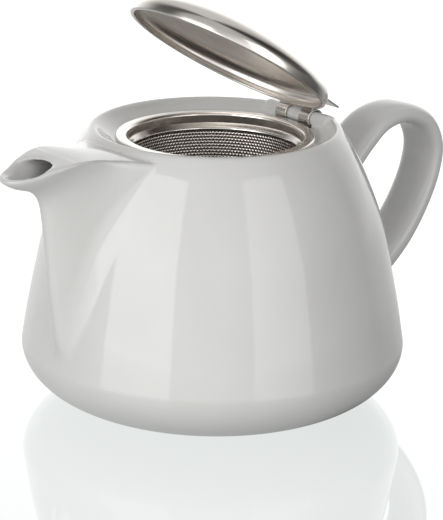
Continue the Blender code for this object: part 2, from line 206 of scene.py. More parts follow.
def lathe(name, outline, segments, materials, frame_matrix=None):
    """Revolve a closed (radius, height) outline round the Z axis."""
    verts, faces, rows = [], [], []
    for r, z in outline:
        if r < 1e-6:
            rows.append([len(verts)] * segments)
            verts.append((0.0, 0.0, z))
            continue
        rows.append(list(range(len(verts), len(verts) + segments)))
        for k in range(segments):
            turn = math.tau * k / segments
            verts.append((r * math.cos(turn), r * math.sin(turn), z))
    count = len(rows)
    for i in range(count):
        a, b = rows[i], rows[(i + 1) % count]
        for k in range(segments):
            n = (k + 1) % segments
            ring = [a[k], a[n], b[n], b[k]]
            face = [v for j, v in enumerate(ring) if v not in ring[:j]]
            if len(face) > 2:
                faces.append(face)
    made = make_mesh(name, verts, faces, materials, frame_matrix)
    return face_out(made)


def face_out(piece):
    """Point every face outwards."""
    bm = bmesh.new()
    bm.from_mesh(piece.data)
    bmesh.ops.recalc_face_normals(bm, faces=bm.faces)
    bm.to_mesh(piece.data)
    bm.free()
    return piece


# ======================================================================
#  the glazed pot: signed distance fields in millimetres
# ======================================================================
def join(a, b, k):
    """Union of two fields with a fillet of about k across."""
    fa, ga = a
    fb, gb = b
    mix = np.clip(0.5 + 0.5 * (fb - fa) / k, 0.0, 1.0)
    field = fb + (fa - fb) * mix - k * mix * (1.0 - mix)
    return field, gb + (ga - gb) * mix[:, None]


def carve(a, b, k):
    """Field a with b taken out of it, its edge rounded by about k."""
    field, slope = join((-a[0], -a[1]), b, k)
    return -field, -slope


def overlap(a, b, k):
    """The part that two fields share, its edge rounded by about k."""
    field, slope = join((-a[0], -a[1]), (-b[0], -b[1]), k)
    return -field, -slope


def belly_corner(offset, count):
    """The elliptical lower corner, from the foot up to the belly."""
    wide = BELLY_R - CORNER_R + offset
    tall = BELLY_Z + offset
    points = []
    for step in range(count):
        turn = CORNER_START + (math.pi / 2 - CORNER_START) * step / (count - 1)
        points.append((CORNER_R + wide * math.sin(turn),
                       BELLY_Z - tall * math.cos(turn)))
    return points


def wall_outline():
    """Closed outline of the pot's wall, from the foot round to the floor."""
    side = smooth_path([(BELLY_R, BELLY_Z)] + SHOULDER + RIM + FUNNEL, 160)
    side = [(p.x, p.y) for p in side[1:]]
    inner = smooth_path([(BELLY_R, BELLY_Z)] + SHOULDER, 60)[1:-10]
    inner = [(p.x - WALL, p.y) for p in reversed(inner)]
    wide = BELLY_R - CORNER_R - WALL
    tall = BELLY_Z - FLOOR_Z
    floor = [(CORNER_R + wide * math.cos(t), BELLY_Z - tall * math.sin(t))
             for t in np.linspace(0.0, math.pi / 2, 30)]
    return ([(-6.0, FOOT_RECESS), (FOOT_INNER - 1.0, FOOT_RECESS),
             (FOOT_INNER, 0.0), (FOOT_OUTER, 0.0)]
            + belly_corner(0.0, 40) + side
            + [(THROAT_R + 0.6, SEAT_Z), (THROAT_R, SEAT_Z - 0.6),
               (THROAT_R, LEDGE_BOTTOM + 1.0), (THROAT_R + 1.0, LEDGE_BOTTOM),
               (inner[0][0] - 4.0, inner[0][1] + 1.4)]
            + inner + floor + [(-6.0, FLOOR_Z)])


def resample(points, spacing):
    """Evenly spaced points round a closed outline."""
    loop = np.array(points + points[:1], float)
    run = np.r_[0.0, np.cumsum(np.hypot(*np.diff(loop, axis=0).T))]
    at = np.linspace(0.0, run[-1], int(run[-1] / spacing), endpoint=False)
    return np.stack([np.interp(at, run, loop[:, 0]),
                     np.interp(at, run, loop[:, 1])], axis=1)


def soften(loop, width):
    """Round a closed outline's corners by a moving average."""
    reach = np.arange(-3 * width, 3 * width + 1)
    share = np.exp(-0.5 * (reach / width) ** 2)
    share /= share.sum()
    return sum(w * np.roll(loop, k, axis=0) for k, w in zip(reach, share))


class LatheField:
    """Distance to a turned outline, read from a table over (r, z)."""

    STEP = 0.25

    def __init__(self, loop, high_r, low_z, high_z):
        self.low_z = low_z
        rs = np.arange(0.0, high_r, self.STEP)
        zs = np.arange(low_z, high_z, self.STEP)
        spots = np.stack(np.meshgrid(rs, zs, indexing="ij"), -1).reshape(-1, 2)
        self.table = self.distance(spots, loop).reshape(len(rs), len(zs))
        self.slope_r, self.slope_z = np.gradient(self.table, self.STEP)

    @staticmethod
    def distance(spots, loop):
        """Signed distance of each spot to the closed loop."""
        ends = np.roll(loop, -1, axis=0)
        run = ends - loop
        size = (run ** 2).sum(1)
        out = np.empty(len(spots))
        for at in range(0, len(spots), 4000):
            p = spots[at:at + 4000, None, :]
            t = np.clip(((p - loop) * run).sum(2) / size, 0.0, 1.0)
            gap = np.sqrt(((p - loop - t[..., None] * run) ** 2).sum(2).min(1))
            up = (loop[:, 1] > p[..., 1]) != (ends[:, 1] > p[..., 1])
            safe = np.where(run[:, 1] == 0.0, 1.0, run[:, 1])
            cross = loop[:, 0] + (p[..., 1] - loop[:, 1]) / safe * run[:, 0]
            inside = (up & (p[..., 0] < cross)).sum(1) % 2 == 1
            out[at:at + 4000] = np.where(inside, -gap, gap)
        return out

    def read(self, table, r, z):
        """Bilinear value of a table."""
        u = np.clip(r / self.STEP, 0.0, table.shape[0] - 1.001)
        v = np.clip((z - self.low_z) / self.STEP, 0.0, table.shape[1] - 1.001)
        i, j = u.astype(int), v.astype(int)
        u, v = u - i, v - j
        return ((table[i, j] * (1 - u) + table[i + 1, j] * u) * (1 - v)
                + (table[i, j + 1] * (1 - u) + table[i + 1, j + 1] * u) * v)

    def __call__(self, p):
        r = np.hypot(p[:, 0], p[:, 1])
        away = np.where(r[:, None] > 1e-6,
                        p[:, :2] / np.maximum(r, 1e-6)[:, None], 0.0)
        out_r = self.read(self.slope_r, r, p[:, 2])
        out_z = self.read(self.slope_z, r, p[:, 2])
        slope = np.concatenate([away * out_r[:, None], out_z[:, None]], axis=1)
        return self.read(self.table, r, p[:, 2]), slope


class ShapeField:
    """Distance to a closed loft of rings, with smoothed normals."""

    def __init__(self, rings, margin):
        points = np.array([[tuple(p) for p in ring] for ring in rings])
        rows, cols = points.shape[:2]
        ids = np.arange(rows * cols).reshape(rows, cols)
        a, b = ids[:-1], ids[1:]
        c, d = np.roll(b, -1, axis=1), np.roll(a, -1, axis=1)
        tris = np.concatenate([np.stack([a, d, c], -1).reshape(-1, 3),
                               np.stack([a, c, b], -1).reshape(-1, 3)])
        caps = []
        verts = points.reshape(-1, 3)
        for row, flip in ((ids[0], True), (ids[-1], False)):
            middle = len(verts)
            verts = np.concatenate([verts, verts[row].mean(0)[None]])
            fan = np.stack([row, np.roll(row, -1),
                            np.full(cols, middle)], -1)
            caps.append(fan[:, ::-1] if flip else fan)
        self.tris = np.concatenate([tris] + caps)
        self.verts = verts
        corner = verts[self.tris]
        face = np.cross(corner[:, 1] - corner[:, 0], corner[:, 2] - corner[:, 0])
        volume = (corner[:, 0] * face).sum() / 6.0
        if volume < 0.0:
            self.tris = self.tris[:, ::-1]
            face = -face
        normal = np.zeros_like(verts)
        for k in range(3):
            np.add.at(normal, self.tris[:, k], face)
        self.normals = normal / np.maximum(
            np.linalg.norm(normal, axis=1), 1e-9)[:, None]
        self.tree = BVHTree.FromPolygons([tuple(v) for v in verts],
                                         [tuple(t) for t in self.tris.tolist()])
        self.low = verts.min(0) - margin
        self.high = verts.max(0) + margin

    def __call__(self, p):
        field = np.full(len(p), FAR)
        slope = np.zeros((len(p), 3))
        near = np.flatnonzero(((p > self.low) & (p < self.high)).all(1))
        if not len(near):
            return field, slope
        found = [self.tree.find_nearest(q) for q in p[near].tolist()]
        spot = np.array([tuple(f[0]) for f in found])
        tri = self.tris[[f[2] for f in found]]
        a, b, c = self.verts[tri[:, 0]], self.verts[tri[:, 1]], self.verts[tri[:, 2]]
        ab, ac, at = b - a, c - a, spot - a
        d00, d01, d11 = (ab * ab).sum(1), (ab * ac).sum(1), (ac * ac).sum(1)
        d20, d21 = (at * ab).sum(1), (at * ac).sum(1)
        base = np.maximum(d00 * d11 - d01 * d01, 1e-12)
        v = np.clip((d11 * d20 - d01 * d21) / base, 0.0, 1.0)
        w = np.clip((d00 * d21 - d01 * d20) / base, 0.0, 1.0)
        u = 1.0 - v - w
        normal = (self.normals[tri[:, 0]] * u[:, None]
                  + self.normals[tri[:, 1]] * v[:, None]
                  + self.normals[tri[:, 2]] * w[:, None])
        normal /= np.maximum(np.linalg.norm(normal, axis=1), 1e-9)[:, None]
        gap = p[near] - spot
        length = np.linalg.norm(gap, axis=1)
        flat = np.cross(ab, ac)
        flat /= np.maximum(np.linalg.norm(flat, axis=1), 1e-9)[:, None]
        by_face, by_blend = (gap * flat).sum(1), (gap * normal).sum(1)
        side = np.where(np.abs(by_face) > np.abs(by_blend), by_face, by_blend)
        field[near] = length * np.sign(side)
        slope[near] = normal
        return field, slope


def spout_half(t):
    """Half the width between the spout's ridges at t (0 root, 1 lip)."""
    flare = (SPOUT_W_ROOT - SPOUT_W_NECK) * (1.0 - t) ** 4
    return SPOUT_W_NECK + flare + (SPOUT_W_LIP - SPOUT_W_NECK) * t ** 3


def spout_rise(t):
    """Power by which the flank widens upwards at t."""
    return 0.60 - 0.22 * t ** 3


def flank_side(t, length, count):
    """One side of the spout's section: (half-width, run from the keel)."""
    wide = spout_half(t)
    ridge = length - SPOUT_CROWN
    side = []
    for s in np.linspace(0.0, 1.0, count) ** 2.2:
        side.append((wide * s ** spout_rise(t), ridge * s))
    for c in np.linspace(0.0, 1.0, count // 2)[1:]:
        side.append((wide * (1.0 - c),
                     ridge + SPOUT_CROWN * (1.0 - (1.0 - c) ** 2)))
    return side


def bore_side(t, length, count):
    """One side of the channel's section: (half-width, run from the keel)."""
    ridge = length - SPOUT_CROWN
    start = SPOUT_WALL + BORE_FRONT * t ** 3
    room = length - start - SPOUT_WALL - BORE_BACK * t ** 4
    blunt, flat = 12.0 - 6.0 * t, 14.0 - 9.5 * t
    s = 0.5 - 0.5 * np.cos(np.linspace(0.0, math.pi, count))
    run = start + room * s
    wide = spout_half(t) * (run / ridge) ** spout_rise(t) - BORE_SIDE
    ends = (1.0 - (1.0 - s) ** blunt) * (1.0 - s ** flat)
    wide = np.maximum(wide, 0.3) * np.sqrt(np.maximum(ends, 0.0))
    return list(zip(wide, run))


def even_ring(side, count, rounds):
    """Evenly spaced points round a section, its corners eased."""
    loop = [(-wide, run) for wide, run in side]
    loop = np.array(loop + [(-y, run) for y, run in loop[-2:0:-1]] + loop[:1])
    run = np.r_[0.0, np.cumsum(np.hypot(*np.diff(loop, axis=0).T))]
    at = np.linspace(0.0, run[-1], count, endpoint=False)
    ring = np.stack([np.interp(at, run, loop[:, 0]),
                     np.interp(at, run, loop[:, 1])], axis=1)
    for _ in range(rounds):
        ring = (np.roll(ring, 1, axis=0) + 2.0 * ring
                + np.roll(ring, -1, axis=0)) / 4.0
    return ring


def spout_rings(side_of, steps, count):
    """Closed sections from inside the pot to beyond the lip."""
    keel = smooth_path(KEEL, steps)
    top = smooth_path(SPOUT_TOP, steps)
    rings = []
    for step, (low, high) in enumerate(zip(keel, top)):
        t = step / (steps - 1)
        along = (high - low).normalized()
        side = side_of(t, (high - low).length, 60)
        ring = []
        for y, run in even_ring(side, count, 1 + round(3 * t)):
            spot = low + along * run
            ring.append(Vector((spot.x, y, spot.y)))
        rings.append(ring)
    out = Vector((-along.y, 0.0, along.x)) * SPOUT_OVERRUN
    rings.append([p + out for p in rings[-1]])
    inward = Vector((SPOUT_INRUN, 0.0, 0.0))
    return [[p + inward for p in rings[0]]] + rings


def lip_plane(p):
    """Field of everything below the plane of the pouring lip."""
    low, high = Vector(KEEL[-1]), Vector(SPOUT_TOP[-1])
    out = np.array([low.y - high.y, 0.0, high.x - low.x])
    out /= np.linalg.norm(out)
    field = (p - np.array([low.x, 0.0, low.y])) @ out
    return field, np.tile(out, (len(p), 1))


def handle_rings(steps, sides):
    """Sections of the strap handle, a flat oval."""
    path = smooth_path(HANDLE, steps)
    rings = []
    for step, spot in enumerate(path):
        t = step / (steps - 1)
        before = path[max(step - 1, 0)]
        after = path[min(step + 1, steps - 1)]
        along = (after - before).normalized()
        out = Vector((-along.y, along.x))
        root = abs(2 * t - 1) ** 3
        wide = HANDLE_W_MID + (HANDLE_W_ROOT - HANDLE_W_MID) * root
        thick = HANDLE_T_TOP + (HANDLE_T_LOW - HANDLE_T_TOP) * t
        thick += HANDLE_FLARE * root
        ring = []
        for k in range(sides):
            turn = math.tau * k / sides
            c, s = math.cos(turn), math.sin(turn)
            y = math.copysign(abs(c) ** 0.75, c) * wide / 2
            d = math.copysign(abs(s) ** 0.85, s) * thick / 2
            ring.append(Vector((spot.x + out.x * d, y, spot.y + out.y * d)))
        rings.append(ring)
    return rings


def rod_field(p, radius, half, x, z):
    """Distance to a round bar along Y."""
    dx, dz = p[:, 0] - x, p[:, 2] - z
    r = np.maximum(np.hypot(dx, dz), 1e-6)
    side = r - radius
    end = np.abs(p[:, 1]) - half
    zero = np.zeros(len(p))
    slope = np.stack([dx / r, zero, dz / r], axis=1)
    tip = np.stack([zero, np.sign(p[:, 1]), zero], axis=1)
    return overlap((side, slope), (end, tip), 0.8)


def below_field(p, height):
    """Field of everything below a height."""
    return p[:, 2] - height, np.tile((0.0, 0.0, 1.0), (len(p), 1))


def blend(value, start, end):
    """0 to 1 as the values run from start to end."""
    return np.clip((value - start) / (end - start), 0.0, 1.0)


def slot_field(p, half_x, half_y, x, z):
    """Distance to an upright slot that starts at z and is open above."""
    zero = np.zeros(len(p))
    dx = p[:, 0] - x
    across = (np.abs(dx) - half_x,
              np.stack([np.sign(dx), zero, zero], axis=1))
    along = (np.abs(p[:, 1]) - half_y,
             np.stack([zero, np.sign(p[:, 1]), zero], axis=1))
    below = (z - p[:, 2], np.stack([zero, zero, zero - 1.0], axis=1))
    return overlap(overlap(across, along, 1.0), below, 1.0)


def mid_wall(z):
    """Radius of the middle of the pot's wall at a height."""
    side = smooth_path([(BELLY_R, BELLY_Z)] + SHOULDER, 40)
    side = belly_corner(0.0, 20) + [(p.x, p.y) for p in side[1:]] + RIM
    heights = np.array([q[1] for q in side])
    radii = np.array([q[0] for q in side])
    return np.interp(z, heights, radii) - WALL / 2


def glazed_field():
    """The whole ceramic piece as one function of points."""
    loop = soften(resample(wall_outline(), 0.25), 2)[::2]
    wall = LatheField(loop, 80.0, -4.0, 110.0)
    spout = ShapeField(spout_rings(flank_side, 61, 160), 10.0)
    bore = ShapeField(spout_rings(bore_side, 61, 96), 6.0)
    handle = ShapeField(handle_rings(121, 64), 10.0)

    def field(p):
        r = np.maximum(np.hypot(p[:, 0], p[:, 1]), 1e-6)
        away = np.stack([p[:, 0] / r, p[:, 1] / r, np.zeros(len(p))], axis=1)
        outside = (mid_wall(p[:, 2]) - r, -away)
        solid = wall(p)
        pocket = rod_field(p, POCKET_R, POCKET_HALF, HINGE_X, HINGE_Z)
        slot = slot_field(p, POCKET_R - SLOT_INSET, POCKET_HALF,
                          HINGE_X - SLOT_INSET, HINGE_Z)
        bar = rod_field(p, BAR_R, BAR_HALF, HINGE_X, HINGE_Z)
        solid = carve(solid, pocket, POCKET_EDGE)
        solid = carve(solid, slot, POCKET_EDGE)
        solid = join(solid, bar, 1.6)
        # the lip is rounder towards its tip, and the spout's root has a
        # soft fillet low down that tightens to a crease near the rim
        roll = LIP_ROLL + (LIP_ROLL_TIP - LIP_ROLL) * blend(p[:, 0], -76.0, -85.0)
        fillet = 5.5 - 5.1 * blend(p[:, 2], 80.0, 100.0)
        top = overlap(lip_plane(p), below_field(p, SPOUT_ROOF), 4.0)
        lip = overlap(spout(p), top, roll)
        solid = join(solid, overlap(lip, outside, 0.5), fillet)
        solid = join(solid, overlap(handle(p), outside, 0.5), HANDLE_FILLET)
        # the channel's roof rises towards the lip, clear of the mouth's ledge
        edge = 0.8 + 1.4 * blend(p[:, 2], 90.0, 98.0)
        height = BORE_ROOF + np.maximum(BORE_ROOF_X - p[:, 0], 0.0)
        channel = overlap(bore(p), below_field(p, height), 0.5)
        return carve(solid, channel, edge)

    return field


def surface_net(field, low, high, step):
    """Quads along the zero level of a field, one point per crossed cell."""
    axes = [np.arange(a, b + step, step) for a, b in zip(low, high)]
    shape = tuple(len(a) for a in axes)
    value = np.empty(shape)
    for i, x in enumerate(axes[0]):
        gy, gz = np.meshgrid(axes[1], axes[2], indexing="ij")
        spots = np.stack([np.full(gy.size, x), gy.ravel(), gz.ravel()], axis=1)
        value[i] = field(spots)[0].reshape(gy.shape)
    cells = tuple(n - 1 for n in shape)
    total = np.zeros((int(np.prod(cells)), 4))
    edges = []
    for axis in range(3):
        start = [slice(None)] * 3
        end = [slice(None)] * 3
        start[axis] = slice(None, -1)
        end[axis] = slice(1, None)
        va, vb = value[tuple(start)], value[tuple(end)]
        hit = np.argwhere((va < 0.0) != (vb < 0.0))
        fa, fb = va[tuple(hit.T)], vb[tuple(hit.T)]
        spot = hit.astype(float)
        spot[:, axis] += fa / (fa - fb)
        others = [a for a in range(3) if a != axis]
        inner = np.ones(len(hit), bool)
        for a in others:
            inner &= (hit[:, a] > 0) & (hit[:, a] < shape[a] - 1)
        hit, spot, fa = hit[inner], spot[inner], fa[inner]
        around = []
        for da, db in ((-1, -1), (0, -1), (0, 0), (-1, 0)):
            cell = hit.copy()
            cell[:, others[0]] += da
            cell[:, others[1]] += db
            flat = np.ravel_multi_index(tuple(cell.T), cells)
            for k in range(3):
                total[:, k] += np.bincount(flat, spot[:, k], len(total))
            total[:, 3] += np.bincount(flat, minlength=len(total))
            around.append(flat)
        quad = np.stack(around, axis=1)
        turn = (fa < 0.0) == (axis != 1)
        quad[~turn] = quad[~turn][:, ::-1]
        edges.append(quad)
    used = np.flatnonzero(total[:, 3])
    index = np.full(len(total), -1)
    index[used] = np.arange(len(used))
    verts = total[used, :3] / total[used, 3:] * step + np.array(low)
    return verts, index[np.concatenate(edges)]


def settle(verts, field, rounds):
    """Slide points onto the field's zero level and return its normals."""
    for _ in range(rounds):
        value, slope = field(verts)
        size = np.maximum((slope ** 2).sum(1), 0.25)
        move = np.clip(value / size, -0.6, 0.6)
        verts = verts - slope * move[:, None]
    slope = field(verts)[1]
    size = np.maximum(np.linalg.norm(slope, axis=1), 1e-6)
    return verts, slope / size[:, None]


def make_glazed_pot(glaze):
    """Body, spout, handle and hinge bar, cast and glazed as one piece."""
    field = glazed_field()
    low = (-99.0, -74.7, -1.35)
    high = (114.0, 74.7, 109.0)
    verts, quads = surface_net(field, low, high, CELL)
    verts, normals = settle(verts, field, 4)
    made = make_mesh("glazed_pot", verts, quads.tolist(), [glaze])
    made.data.normals_split_custom_set_from_vertices(
        [tuple(n) for n in normals])
    return made


# ======================================================================
#  steel pieces
# ======================================================================
def lid_matrix():
    """From the lid's own frame, hinge axis at its origin, to the pot's."""
    return (Matrix.Translation((HINGE_X * MM, 0.0, HINGE_Z * MM))
            @ Matrix.Rotation(LID_OPEN, 4, "Y"))


def dome_outline(inset, count):
    """Edge to crown of the dome: an upright band, then a low ellipse."""
    radius = LID_R - inset
    tall = LID_H - inset - LID_BAND
    points = []
    for step in range(count):
        turn = math.pi / 2 * step / (count - 1)
        points.append((radius * math.cos(turn) ** 0.92,
                       LID_BAND + tall * math.sin(turn)))
    points[-1] = (0.0, points[-1][1])
    return points


def make_lid(polished, satin):
    """The pressed dome, polished outside and satin inside."""
    outer = dome_outline(0.0, 40)
    inner = dome_outline(LID_T, 40)[::-1]
    hem = [(LID_R - LID_T, 1.0), (LID_R - 0.8, 0.84), (LID_R - 1.35, 0.8),
           (LID_R - 1.6, 0.62), (LID_R - 1.66, 0.36), (LID_R - 1.5, 0.12),
           (LID_R - 1.2, 0.02), (LID_R - 0.6, 0.0), (LID_R - 0.26, 0.08),
           (LID_R - 0.06, 0.3), (LID_R, 0.62)]
    move = lid_matrix() @ Matrix.Translation(
        (-LID_REACH * MM, 0.0, LID_LIFT * MM))
    lid = lathe("lid_shell", outer + inner + hem, 160, [polished, satin], move)
    for face in lid.data.polygons:
        spot, out = face.center, face.normal
        flat = Vector((spot.x, spot.y, 0.0))
        inward = flat.length > 1e-5 and out.dot(flat.normalized()) < -0.2
        shell = flat.length < (LID_R - LID_T + 0.05) * MM and spot.z > 0.9 * MM
        if shell and (out.z < -0.2 or inward):
            face.material_index = 1
    return lid


def clip_outline(steps):
    """Open ring of steel that springs over the bar."""
    start, end = -32, 264
    outer = arc((0.0, 0.0), CLIP_R, start, end, steps + 1)
    inner = arc((0.0, 0.0), CLIP_R - CLIP_T, end, start, steps + 1)
    return outer + inner


def extrude_outline(bm, outline, low, high):
    """Prism along Y from a closed (x, z) outline."""
    sides = [[bm.verts.new((x * MM, y * MM, z * MM)) for x, z in outline]
             for y in (low, high)]
    count = len(outline)
    for k in range(count):
        n = (k + 1) % count
        bm.faces.new((sides[0][k], sides[0][n], sides[1][n], sides[1][k]))
    bm.faces.new(sides[0])
    bm.faces.new(sides[1][::-1])


def strip_outline():
    """Closed side view of the web and the thumb tab."""
    half = CLIP_T / 2
    back, level = half - CLIP_R, TAB_Z - half
    path = [Vector((back, WEB_FOOT))]
    path += [Vector(spot) for spot in arc((back + TAB_BEND, level - TAB_BEND),
                                          TAB_BEND, 180, 90, 13)]
    path.append(Vector((TAB_END, level)))
    left, right = [], []
    for i, spot in enumerate(path):
        ahead = path[min(i + 1, len(path) - 1)] - path[max(i - 1, 0)]
        side = Vector((-ahead.y, ahead.x)).normalized() * half
        left.append(tuple(spot + side))
        right.append(tuple(spot - side))
    return left + right[::-1]


def make_bracket(satin):
    """Two clips on the bar, the web up the dome's back and the thumb tab."""
    bm = bmesh.new()
    extrude_outline(bm, strip_outline(), -WEB_HALF, WEB_HALF)
    for side in (-1, 1):
        middle = side * CLIP_Y
        extrude_outline(bm, clip_outline(40), middle - CLIP_W / 2,
                        middle + CLIP_W / 2)
    for v in bm.verts:
        reach = v.co.x / MM / TAB_END
        if v.co.z > (TAB_Z - TAB_BEND) * MM and reach > TAPER_FROM:
            share = (reach - TAPER_FROM) / (1.0 - TAPER_FROM)
            v.co.y *= 1.0 - TAB_TAPER * share ** 2
    mesh = bpy.data.meshes.new("lid_hinge_bracket")
    bm.to_mesh(mesh)
    bm.free()
    mesh.materials.append(satin)
    mesh.shade_smooth()
    made = face_out(add_piece("lid_hinge_bracket", mesh, lid_matrix()))
    edge = made.modifiers.new("edges", "BEVEL")
    edge.width = 0.14 * MM
    edge.segments = 2
    edge.limit_method = "ANGLE"
    edge.angle_limit = math.radians(50)
    edge.harden_normals = True
    return made


def make_flange(polished):
    """Drawn ring: flange with a rolled edge, and the collar below it."""
    top, low = FLANGE_TOP, FLANGE_TOP - STEEL
    bend = COLLAR_R - STEEL + 1.4
    outline = [(COLLAR_R, COLLAR_BOTTOM), (COLLAR_R, top - 2.0)]
    outline += arc((COLLAR_R + 0.9, low - 0.9), 0.9, 180, 90, 7)
    outline += [(FLANGE_R - 1.3, low)]
    outline += arc((FLANGE_R - 1.3, low - 0.2), 0.2, 90, 0, 4)
    outline += [(FLANGE_R - 1.1, top - 1.3), (FLANGE_R - 0.5, top - 1.5),
                (FLANGE_R, top - 1.2)]
    outline += arc((FLANGE_R - 0.8, top - 0.8), 0.8, 0, 90, 9)
    outline += [(FLANGE_R - 2.0, top - 0.02), (bend + 0.4, top - 0.05)]
    outline += arc((bend, top - 1.4), 1.4, 90, 180, 11)
    outline += [(COLLAR_R - STEEL, COLLAR_BOTTOM)]
    return sharpen(lathe("infuser_flange", outline, 192, [polished]), 50)


def make_retaining_ring(polished):
    """Ring inside the collar, with a sloping face, that grips the mesh."""
    out = COLLAR_R - STEEL - 0.12
    inn, top = BEAD_R_IN, BEAD_TOP + 0.3
    outline = [(out, BEAD_BOTTOM), (out, top), (out - 0.12, top + 0.04),
               (out - 0.3, top - 0.1), (inn + 0.75, top - 0.95),
               (inn + 0.3, top - 1.5), (inn + 0.08, BEAD_BOTTOM + 0.35),
               (inn, BEAD_BOTTOM)]
    return sharpen(lathe("mesh_ring", outline, 160, [polished]), 50)


def perforated_sheet(name, cells, bend, thickness, finish):
    """Sheet of hexagonal cells with a real hole in each.

    cells holds the (u, v) middles, bend(u, v, w) gives the point at a
    depth w into the sheet.
    """
    cell_r = HOLE_PITCH / math.sqrt(3)
    turns = [math.radians(60 * k + 30) for k in range(6)]
    corners = [(math.cos(t), math.sin(t)) for t in turns]
    index, spots = {}, []

    def corner(u, v, w):
        key = (round(u * 200), round(v * 200), w)
        if key not in index:
            index[key] = len(spots)
            spots.append(bend(u, v, w * thickness))
        return index[key]

    faces = []
    border = {}
    for u, v in cells:
        rims, holes = [], []
        for w in (0, 1):
            rims.append([corner(u + cell_r * c, v + cell_r * s, w)
                         for c, s in corners])
            depth = thickness * (HOLE_DISH if w == 0 else 1.0 - HOLE_DISH)
            ring = []
            for c, s in corners:
                ring.append(len(spots))
                spots.append(bend(u + HOLE_R * c, v + HOLE_R * s, depth))
            holes.append(ring)
        for k in range(6):
            n = (k + 1) % 6
            faces.append((rims[0][k], rims[0][n], holes[0][n], holes[0][k]))
            faces.append((rims[1][n], rims[1][k], holes[1][k], holes[1][n]))
            faces.append((holes[0][k], holes[0][n], holes[1][n], holes[1][k]))
            side = (min(rims[0][k], rims[0][n]), max(rims[0][k], rims[0][n]))
            border.setdefault(side, []).append(
                (rims[0][n], rims[0][k], rims[1][k], rims[1][n]))
    faces += [quads[0] for quads in border.values() if len(quads) == 1]
    return sharpen(make_mesh(name, spots, faces, [finish]), 40)


def make_basket_wall(finish):
    """The rolled perforated cylinder, with its holes staggered."""
    low = BASKET_BOTTOM + HOOP_H - 0.6
    high = BEAD_BOTTOM + 0.5
    columns = round(math.tau * MESH_R / HOLE_PITCH)
    pitch = math.tau * MESH_R / columns
    row = HOLE_PITCH * math.sqrt(3) / 2
    rows = int((high - low) / row)
    cells = [((i + 0.5 * (j % 2)) * HOLE_PITCH, low + (j + 0.6) * row)
             for j in range(rows) for i in range(columns)]
    whole = columns * HOLE_PITCH

    def bend(u, v, w):
        turn = math.tau * (u % whole) / whole
        r = MESH_R - w
        return (r * math.cos(turn), r * math.sin(turn), v)

    made = perforated_sheet("basket_mesh_wall", cells, bend, MESH_T, finish)
    bm = bmesh.new()
    bm.from_mesh(made.data)
    bmesh.ops.remove_doubles(bm, verts=bm.verts, dist=pitch * 0.02 * MM)
    bm.to_mesh(made.data)
    bm.free()
    return made


def make_basket_bottom(finish):
    """The perforated disc that closes the basket, slightly dished."""
    edge = MESH_R - 1.4
    row = HOLE_PITCH * math.sqrt(3) / 2
    reach = int(edge / row) + 1
    cells = []
    for j in range(-reach, reach + 1):
        for i in range(-reach, reach + 1):
            u, v = (i + 0.5 * (j % 2)) * HOLE_PITCH, j * row
            if math.hypot(u, v) < edge - 0.4:
                cells.append((u, v))

    def bend(u, v, w):
        dish = 0.5 * (1.0 - (math.hypot(u, v) / edge) ** 2)
        return (u, v, BASKET_BOTTOM + 1.1 + dish - w)

    return perforated_sheet("basket_mesh_bottom", cells, bend, MESH_T, finish)


def make_seam(finish):
    """The overlap strip welded down the inside of the rolled sheet."""
    out = MESH_R - MESH_T
    low, high = BASKET_BOTTOM + HOOP_H - 0.4, BEAD_BOTTOM + 0.3
    half = SEAM_W / 2 / out
    verts, faces = [], []
    steps, rows = 8, 24
    for depth in (SEAM_OUT, SEAM_IN):
        for j in range(rows + 1):
            for k in range(steps + 1):
                turn = SEAM_ANGLE + half * (2 * k / steps - 1)
                r = out - depth
                verts.append((r * math.cos(turn), r * math.sin(turn),
                              low + (high - low) * j / rows))
    wide, layer = steps + 1, (steps + 1) * (rows + 1)
    for j in range(rows):
        for k in range(steps):
            quad = [j * wide + k, j * wide + k + 1,
                    (j + 1) * wide + k + 1, (j + 1) * wide + k]
            faces += [quad, [v + layer for v in quad[::-1]]]
    edge = list(range(steps)) + [j * wide + steps for j in range(rows)]
    edge += [v + rows * wide for v in range(steps, 0, -1)]
    edge += [j * wide for j in range(rows, 0, -1)]
    faces += [(b, a, a + layer, b + layer)
              for a, b in zip(edge, edge[1:] + edge[:1])]
    return face_out(sharpen(make_mesh("basket_seam", verts, faces, [finish]), 40))


def make_hoop(finish):
    """Folded ring that joins the wall to the bottom."""
    low, high = BASKET_BOTTOM, BASKET_BOTTOM + HOOP_H
    out, inn = MESH_R + 0.3, MESH_R - 1.9
    outline = [(inn, low + 0.5), (inn + 0.3, low + 0.1), (inn + 0.7, low)]
    outline += arc((out - 0.9, low + 0.9), 0.9, 270, 360, 8)
    outline += [(out, high - 0.2), (out - 0.2, high), (out - 0.8, high),
                (out - 1.0, high - 0.2), (out - 1.0, low + 1.9),
                (out - 1.4, low + 1.5), (inn + 0.2, low + 1.4),
                (inn, low + 1.2)]
    return sharpen(lathe("basket_hoop", outline, 160, [finish]), 40)


# ======================================================================
#  materials
# ======================================================================
class Nodes:
    """Short hand for building the node tree of a material or a world."""

    def __init__(self, holder, shader="Principled BSDF"):
        holder.use_nodes = True
        self.holder = holder
        self.tree = holder.node_tree
        self.shader = self.tree.nodes[shader]

    def add(self, kind, **values):
        node = self.tree.nodes.new(kind)
        for key, value in values.items():
            if key in node.bl_rna.properties:
                setattr(node, key, value)
            else:
                node.inputs[key.replace("_", " ")].default_value = value
        return node

    def link(self, source, target):
        self.tree.links.new(source, target)


def noise(made, place, scale, detail, rough=0.5):
    """Noise over the object's own coordinates."""
    node = made.add("ShaderNodeTexNoise", Scale=scale, Detail=detail,
                    Roughness=rough)
    made.link(place, node.inputs["Vector"])
    return node.outputs["Fac"]


def spread(made, source, low, high):
    """Map a 0..1 value to a range."""
    node = made.add("ShaderNodeMapRange", To_Min=low, To_Max=high)
    made.link(source, node.inputs["Value"])
    return node.outputs["Result"]


